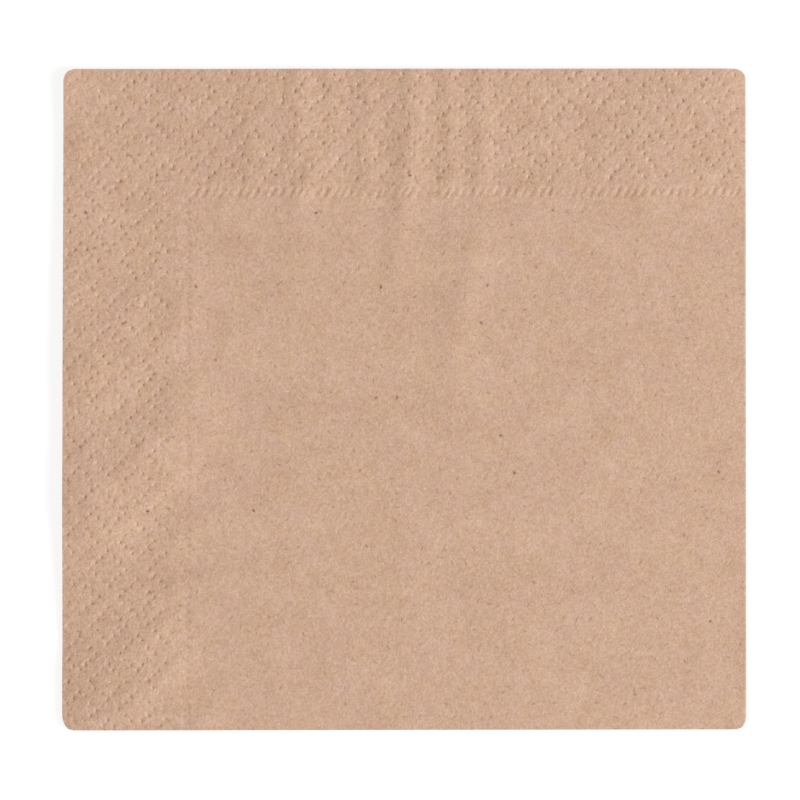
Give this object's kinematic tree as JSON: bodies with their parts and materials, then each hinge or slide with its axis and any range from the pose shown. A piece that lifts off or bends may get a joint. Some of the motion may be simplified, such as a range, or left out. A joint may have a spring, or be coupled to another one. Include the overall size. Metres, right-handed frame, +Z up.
{
  "type": "paper napkin",
  "caption": "Kraft paper napkin folded in four and lying flat, with a dotted diamond border and a rope line embossed along its free edges.",
  "frame": {"origin": "on the surface that the napkin lies on, under the middle of its folded outline", "axes": "+X along the longer side, towards the second fold; +Y away from the first fold, towards the free edges; +Z up, out of the embossed top leaf"},
  "size_m": [0.165, 0.16, 0.0018],
  "materials": {
    "kraft_tissue": "unbleached crepe tissue, matt and fibrous, light brown with darker specks"
  },
  "bodies": {
    "root": {"napkin": "kraft_tissue"}
  },
  "joints": []
}
